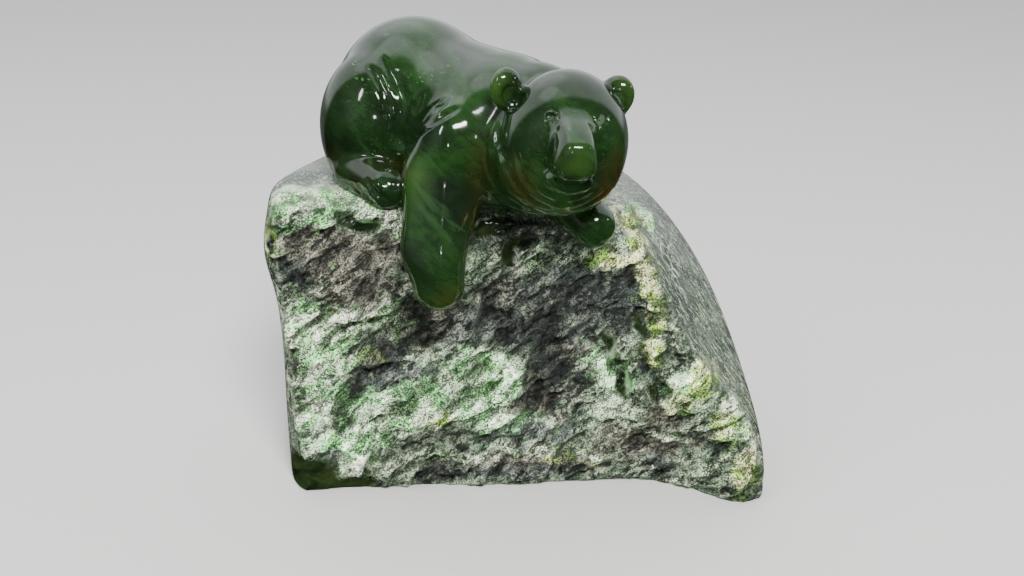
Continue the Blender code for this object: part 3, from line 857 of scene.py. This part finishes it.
def bear_material():
    """Deep green polished stone with clouds, fibres, paler bands, brown flames, bright flecks and a painted
    glow where the stone is thinner.
    """
    n = Nodes("polished nephrite")
    clouds = n.noise(n.stretched((28, 28, 17), (0, 0.5, 0)), 5, 0.55, 0.5)
    colour = n.ramp(clouds, (0.34, (0.006, 0.0145, 0.0055)), (0.5, (0.0095, 0.028, 0.007)),
                    (0.68, (0.016, 0.053, 0.011)))
    fibres = n.noise(n.stretched((7, 7, 1.6), (0, 0.7, 0)), 6, 0.65, 0.7)
    mottle = n.noise(n.stretched((3.2, 3.2, 2.2)), 7, 0.7, 0.4)
    shade = n.step(n.blend((fibres, 0.5), (mottle, 0.5)), 0.36, 0.64, 0.72, 1.32)
    colour = n.mix(1.0, colour, shade, "MULTIPLY")
    bands = n.noise(n.stretched((24, 20, 4.5), (0, 0.75, 0)), 4, 0.55, 0.4)
    colour = n.mix(n.step(bands, 0.58, 0.74, 0, 0.5), colour, (0.03, 0.08, 0.026))
    brown = n.math("MULTIPLY", n.mask("brown"), n.step(n.noise(n.stretched((7, 7, 12)), 5), 0.3, 0.55))
    colour = n.mix(n.math("MULTIPLY", brown, 0.85), colour, (0.036, 0.021, 0.004))
    # Painted glow: a lighter yellow-green where light shows through the thinner ears, nose, paw and upper arm
    painted_glow = n.math("MULTIPLY", n.mask("painted_glow"), n.step(n.noise(n.stretched((6, 6, 6)), 5), 0.25, 0.7, 0.5, 1.0))
    colour = n.mix(painted_glow, colour, (0.05, 0.112, 0.02))
    fleck = n.step(n.cells(n.shaken(n.stretched((2.6, 2.6, 1.1), (0, 0.4, 0)), 1.3)), 0.3, 0.14)
    fleck = n.math("MULTIPLY", fleck, n.step(n.noise(n.stretched((15, 15, 9)), 3), 0.54, 0.66))
    fleck = n.math("MULTIPLY", fleck, n.step(n.mask("flecked"), 0, 1, 0.12, 0.8))
    colour = n.mix(fleck, colour, (0.06, 0.2, 0.05))
    n.put(n.shader.inputs["Base Color"], colour)
    n.put(n.shader.inputs["Roughness"], n.step(n.noise(n.stretched((11, 11, 11)), 6), 0.3, 0.75, 0.06, 0.13))
    n.shader.inputs["IOR"].default_value = 1.61
    n.shader.inputs["Subsurface Weight"].default_value = 0.1
    n.shader.inputs["Subsurface Radius"].default_value = (0.4, 1.0, 0.25)
    n.shader.inputs["Subsurface Scale"].default_value = 3 * MM
    return n.material


# The way that the crystals of the broken stone lie, in radians. It is about that of the layers
CRYSTAL_TURN = (0, -0.663, 0)
# The two colours of each kind of broken stone, which lie side by side in clumps
STONES = {
    "plain": ((0.12, 0.18, 0.11), (0.36, 0.45, 0.3)),
    "brown": ((0.088, 0.084, 0.062), (0.225, 0.22, 0.168)),
    "slate_and_shade": ((0.052, 0.066, 0.056), (0.13, 0.152, 0.124)),
    "pale": ((0.36, 0.58, 0.29), (0.92, 0.97, 0.76)),
    "leaf": ((0.32, 0.76, 0.28), (0.8, 1.0, 0.68)),
    "yellow": ((0.24, 0.4, 0.06), (0.86, 0.9, 0.46)),
}


def rock_material():
    """Broken stone of several kinds at the front, with painted shade in its recesses, painted light on its
    raised parts and partly painted glints, and grey-green polished stone around it.
    """
    n = Nodes("raw nephrite")
    along = CRYSTAL_TURN
    crystals = n.cells(n.shaken(n.stretched((1.5, 1.5, 0.8), along), 1.2), output="Color")
    flakes = n.cells(n.shaken(n.stretched((5, 5, 2.0), along), 1.4), output="Color")
    fibres = n.noise(n.stretched((5.5, 5.5, 1.2), along), 6, 0.7, 1.4)
    specks = n.noise(n.stretched((0.6, 0.6, 0.45), along), 1, 0.6)
    clumps = n.noise(n.stretched((11, 11, 7), along), 5, 0.65, 1.0)
    mottle = n.blend((crystals, 0.17), (flakes, 0.2), (fibres, 0.28), (specks, 0.13), (clumps, 0.22))
    mottle = n.step(mottle, 0.33, 0.67)
    # Painted glints: tiny bright specks, partly the crystals' own whiteness and partly painted highlights
    sparkle = n.step(specks, 0.38, 0.62, 0.36, 1.9)
    shade = n.ramp(mottle, (0.0, (0.03, 0.03, 0.03)), (0.35, (0.27, 0.27, 0.27)), (0.6, (0.8, 0.8, 0.8)),
                   (0.85, (1.0, 1.0, 1.0)))
    tint = n.step(n.noise(n.stretched((8, 8, 4.6), along), 2.5, 0.55, 0.9), 0.42, 0.56)

    broken = n.mix(tint, *STONES["plain"])
    for name in ("brown", "slate_and_shade", "pale", "leaf", "yellow"):
        broken = n.mix(n.mask(name), broken, n.mix(tint, *STONES[name]))
    clear = n.math("MAXIMUM", n.mask("leaf"), n.math("MAXIMUM", n.mask("pale"), n.mask("yellow")))
    glint = n.math("POWER", sparkle, n.math("MULTIPLY_ADD", clear, 0.35, 1.0))
    # Painted shade and light: the broken stone is darker in its recesses and lighter on its raised parts
    painted_light = n.math("MULTIPLY", n.step(n.mask("raised"), 0.12, 0.85, 0.4, 1.6), glint)
    painted_light = n.math("MULTIPLY", painted_light, n.step(n.noise(n.stretched((26, 26, 15), along), 3), 0.35, 0.65, 0.8, 1.35))
    # Painted shade: the clear stones turn a deeper green in their recesses
    painted_crevice_shade = n.math("MULTIPLY", clear, n.step(n.mask("raised"), 0.48, 0.28, 0, 0.7))
    broken = n.mix(painted_crevice_shade, broken, (0.1, 0.26, 0.07))
    shade = n.mix(n.math("MULTIPLY", clear, 0.15), shade, (0.85, 0.85, 0.85))
    broken = n.mix(1.0, n.mix(1.0, broken, shade, "MULTIPLY"), painted_light, "MULTIPLY")

    streaks = n.noise(n.stretched((1.1, 1.3, 9), (0, -0.45, 0)), 6, 0.72, 0.9)
    clouds = n.noise(n.stretched((14, 14, 22), (0, -0.45, 0)), 5, 0.6, 0.7)
    worn = n.ramp(clouds, (0.38, (0.025, 0.04, 0.027)), (0.62, (0.13, 0.16, 0.115)))
    worn = n.mix(n.step(streaks, 0.5, 0.64, 0, 0.85), worn, (0.42, 0.5, 0.36))
    worn = n.mix(0.85, worn, sparkle, "MULTIPLY")
    crackle = n.cells(n.shaken(n.stretched((4, 4, 7), (0.2, -0.4, 0.1)), 0.8), "DISTANCE_TO_EDGE")
    veins = n.math("MULTIPLY", n.step(crackle, 0.08, 0.0, 0, 0.8), n.mask("pale"))
    worn = n.mix(veins, worn, (0.78, 0.83, 0.7))
    for name in ("leaf", "yellow"):
        worn = n.mix(n.math("MULTIPLY", n.mask(name), 0.85), worn, n.mix(tint, *STONES[name]))

    rough = n.mask("rough")
    colour = n.mix(rough, worn, broken)
    glass = n.mask("glass")
    green = n.ramp(clumps, (0.38, (0.005, 0.012, 0.005)), (0.62, (0.03, 0.05, 0.014)))
    colour = n.mix(glass, colour, green)
    n.put(n.shader.inputs["Base Color"], colour)
    rough_finish = n.math("MULTIPLY", rough, n.step(crystals, 0.2, 0.8, 0.32, 0.7))
    worn_finish = n.math("MULTIPLY", n.math("SUBTRACT", 1.0, rough), n.step(streaks, 0.4, 0.7, 0.16, 0.38))
    finish = n.math("ADD", rough_finish, worn_finish)
    n.put(n.shader.inputs["Roughness"], n.math("MULTIPLY", finish, n.step(glass, 0, 1, 1.0, 0.4)))
    n.shader.inputs["IOR"].default_value = 1.6
    crumbs = n.blend((crystals, 0.35), (flakes, 0.3), (fibres, 1.2), (specks, 0.3))
    unevenness = n.math("MULTIPLY", n.step(rough, 0, 1, 0.12, 1), n.step(glass, 0, 1, 1.0, 0.05))
    crumbs = n.math("MULTIPLY", crumbs, unevenness)
    n.put(n.shader.inputs["Normal"], n.bumped(crumbs, 1.1))
    return n.material


def plain_material(name, colour, roughness):
    """One colour all over, for the floor."""
    n = Nodes(name)
    n.shader.inputs["Base Color"].default_value = (*colour, 1)
    n.shader.inputs["Roughness"].default_value = roughness
    return n.material


# Stage, lights and camera

def add_floor():
    """A plain pale floor just under the rock. The polish doesn't mirror it."""
    half_side = 1.6
    bm = bmesh.new()
    bmesh.ops.create_grid(bm, x_segments=1, y_segments=1, size=half_side)
    mesh = bpy.data.meshes.new("floor")
    bm.to_mesh(mesh)
    bm.free()
    mesh.materials.append(plain_material("pale floor", (0.74, 0.73, 0.71), 0.6))
    floor = bpy.data.objects.new("floor", mesh)
    floor.location.z = -0.2 * MM
    floor.visible_glossy = False
    bpy.context.scene.collection.objects.link(floor)


def add_light(name, azimuth, height, distance, size, power, in_gloss):
    """A lamp that looks at the bear and either lights the stone or is mirrored in its polish.

    The azimuth, which is 0 behind the bear, and the height are in degrees, and the rest in metres and watts.
    """
    aim = Vector((0, -0.02, 0.11))
    turned, raised = np.radians(azimuth), np.radians(height)
    way = Vector((np.sin(turned) * np.cos(raised), np.cos(turned) * np.cos(raised), np.sin(raised)))
    light = bpy.data.lights.new(name, "AREA")
    light.shape = "ELLIPSE"
    light.size, light.size_y = size
    light.energy = power
    obj = bpy.data.objects.new(name, light)
    obj.location = aim + distance * way
    obj.rotation_euler = way.to_track_quat("Z", "Y").to_euler()
    obj.visible_glossy = in_gloss
    obj.visible_diffuse = not in_gloss
    bpy.context.scene.collection.objects.link(obj)


# Each lamp's name, azimuth, height, distance, size and power, and whether the polish mirrors it
LAMPS = [
    ("soft front", 168, 50, 1.3, (0.5, 0.4), 27, False),
    ("soft left", -110, 40, 1.3, (0.8, 0.8), 6, False),
    ("front lamp a", 163, 47, 1.2, (0.28, 0.17), 8, True),
    ("front lamp b", 179, 48, 1.2, (0.28, 0.17), 8, True),
    ("left lamp", -128, 36, 1.2, (0.09, 0.34), 2.2, True),
    ("low lamp", -162, 14, 1.2, (0.06, 0.06), 0.5, True),
    ("right lamp", 92, 22, 1.2, (0.05, 0.07), 0.5, True),
]


def add_lights():
    """Soft lamps for the stone and small ones for its polish."""
    for lamp in LAMPS:
        add_light(*lamp)


def add_room():
    """A room that is bright behind, above and to the left. The camera sees a plain backdrop in it."""
    world = bpy.data.worlds.new("studio")
    world.use_nodes = True
    tree = world.node_tree
    place = tree.nodes.new("ShaderNodeTexCoord").outputs["Generated"]
    background = tree.nodes["Background"]

    def facing(way, low, high, bottom, top):
        """From bottom to top as the line of sight turns towards a way."""
        dot = tree.nodes.new("ShaderNodeVectorMath")
        dot.operation = "DOT_PRODUCT"
        tree.links.new(place, dot.inputs[0])
        dot.inputs[1].default_value = Vector(way).normalized()
        ranged = tree.nodes.new("ShaderNodeMapRange")
        ranged.interpolation_type = "SMOOTHSTEP"
        tree.links.new(dot.outputs["Value"], ranged.inputs["Value"])
        for key, given in (("From Min", low), ("From Max", high), ("To Min", bottom), ("To Max", top)):
            ranged.inputs[key].default_value = given
        return ranged.outputs["Result"]

    def combined(how, one, other):
        """Two strengths added, multiplied or the greater of them."""
        node = tree.nodes.new("ShaderNodeMath")
        node.operation = how
        tree.links.new(one, node.inputs[0])
        tree.links.new(other, node.inputs[1])
        return node.outputs[0]

    wall = facing((0, 0.85, 0.52), 0.36, 0.49, 0.08, 1.3)
    glow = facing((-0.2, 0.68, 0.7), 0.93, 0.99, 0, 0.6)
    ceiling = facing((-0.42, 0.24, 0.87), 0.96, 0.99, 0, 0.9)
    side = facing((-0.8, -0.45, 0.4), 0.85, 0.98, 0, 0.2)
    strength = combined("ADD", combined("ADD", wall, glow), combined("ADD", ceiling, side))
    strength = combined("MULTIPLY", strength, facing((0, 0, 1), -0.12, 0.06, 0.15, 1))
    seen = tree.nodes.new("ShaderNodeLightPath").outputs["Is Camera Ray"]
    backdrop = combined("MULTIPLY", seen, facing((0, 0, 1), -1, 1, 0.5, 0.7))
    strength = combined("MAXIMUM", strength, backdrop)
    background.inputs["Color"].default_value = (0.94, 0.97, 1, 1)
    tree.links.new(strength, background.inputs["Strength"])
    bpy.context.scene.world = world


# The photograph's camera, found from the holes of the board behind the sculpture: its place in mm from under
# the rock's middle, the ways that the picture's right, bottom and depth point, and the lens in mm
CAMERA_PLACE = Vector((-34.669, -319.708, 200.903))
CAMERA_RIGHT = Vector((0.9954876, -0.09252326, 0.02106881))
CAMERA_DOWN = Vector((-0.01968241, -0.41853103, -0.9079892))
CAMERA_FORWARD = Vector((0.09282807, 0.9034773, -0.41846353))
LENS = 34.715
SENSOR_WIDTH = 36


def add_camera():
    """Puts the camera where the photograph was taken from."""
    data = bpy.data.cameras.new("photograph")
    data.sensor_width = SENSOR_WIDTH
    data.lens = LENS
    data.clip_start = 0.01
    camera = bpy.data.objects.new("photograph", data)
    turned = Matrix((CAMERA_RIGHT, -CAMERA_DOWN, -CAMERA_FORWARD)).transposed().to_4x4()
    place = CAMERA_PLACE + Vector(ORIGIN)
    camera.matrix_world = Matrix.Translation(place * MM) @ turned
    bpy.context.scene.collection.objects.link(camera)
    bpy.context.scene.camera = camera


bear = make_bear()
rock = make_rock()
for piece, node, slot, material in (
        (bear, "bear", "polished_nephrite", bear_material()),
        (rock, "rock_base", "raw_nephrite", rock_material())):
    piece.data.materials.clear()
    piece.data.materials.append(material)
    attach(piece, "root")
    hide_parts(node)

add_floor()
add_lights()
add_room()
add_camera()
